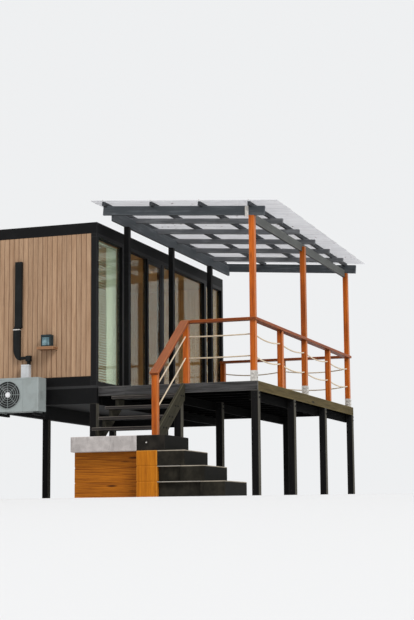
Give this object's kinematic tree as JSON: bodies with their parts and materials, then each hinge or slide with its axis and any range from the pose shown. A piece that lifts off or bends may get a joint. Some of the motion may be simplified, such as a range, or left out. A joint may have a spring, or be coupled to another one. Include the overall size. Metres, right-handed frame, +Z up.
{
  "type": "stilt house",
  "caption": "Glazed cabin on black stilts with a raised timber deck, rope rails, a pergola roof, an open stair with block steps, and a sliding glass door.",
  "frame": {"origin": "centre of the underside of the deck's front outer stilt", "axes": "+Z up, +X away from the cabin, +Y along the deck from its stair end"},
  "size_m": [5.5027, 7.97, 4.8403],
  "materials": {
    "black_timber": "black stained timber, satin",
    "deck_board": "dark weathered decking",
    "olive_board": "weathered olive brown board",
    "oiled_post": "oiled orange brown hardwood",
    "oiled_rail": "oiled red brown hardwood",
    "pale_steel": "galvanised, dull",
    "black_steel": "black powder coat",
    "grey_paint": "grey painted timber",
    "charcoal_paint": "charcoal painted timber",
    "clear_sheet": "translucent corrugated sheet",
    "rope": "twisted natural rope",
    "pale_concrete": "pale cast concrete",
    "dark_concrete": "dark cast concrete",
    "sleeper": "honey coloured sleepers",
    "floor_ply": "plywood",
    "cladding": "vertical grooved timber cladding",
    "black_frame": "black powder coat",
    "clear_glass": "clear",
    "roof_skin": "dark sheet roofing",
    "unit_shell": "light grey enamel",
    "black_plastic": "matt black"
  },
  "bodies": {
    "house": {"deck_stilts": "black_timber", "cabin_stilts": "black_timber", "deck_bearers": "black_timber", "deck_joists": "black_timber", "deck_boards": "deck_board", "front_fascia": "black_timber", "side_fascia": "olive_board", "back_fascia": "black_timber", "pergola_posts": "oiled_post", "post_shoes": "pale_steel", "wall_posts": "black_steel", "outer_beam": "grey_paint", "inner_beam": "charcoal_paint", "front_rafter": "charcoal_paint", "back_rafter": "charcoal_paint", "rafters": "charcoal_paint", "purlins": "charcoal_paint", "roof_sheets": "clear_sheet", "rail_posts": "oiled_post", "stair_newels": "oiled_post", "front_handrail": "oiled_rail", "side_handrail": "oiled_rail", "back_handrail": "oiled_rail", "stair_handrail": "oiled_rail", "rail_ropes": "rope", "stair_stringers": "black_timber", "stair_treads": "black_timber", "pale_block": "pale_concrete", "dark_block": "dark_concrete", "sleeper_pier": "sleeper", "sleeper_panel": "sleeper", "step_blocks": "dark_concrete", "cabin_base": "black_steel", "cabin_floor": "floor_ply", "near_wall": "cladding", "far_wall": "cladding", "back_wall": "cladding", "wall_skirts": "black_steel", "window_sill": "black_frame", "window_head": "black_frame", "window_posts": "black_frame", "window_glass": "clear_glass", "cabin_roof": "roof_skin", "roof_fascia": "black_steel", "outdoor_unit": "unit_shell", "unit_brackets": "black_steel", "wall_duct": "black_plastic", "wall_boxes": "pale_steel"},
    "door": {"door_leaf": "black_frame", "door_glass": "clear_glass"}
  },
  "joints": [
    {"name": "door_slide", "type": "slide", "parent": "house", "child": "door", "axis": [0, -1, 0], "range_m": [0, 0.62]}
  ]
}
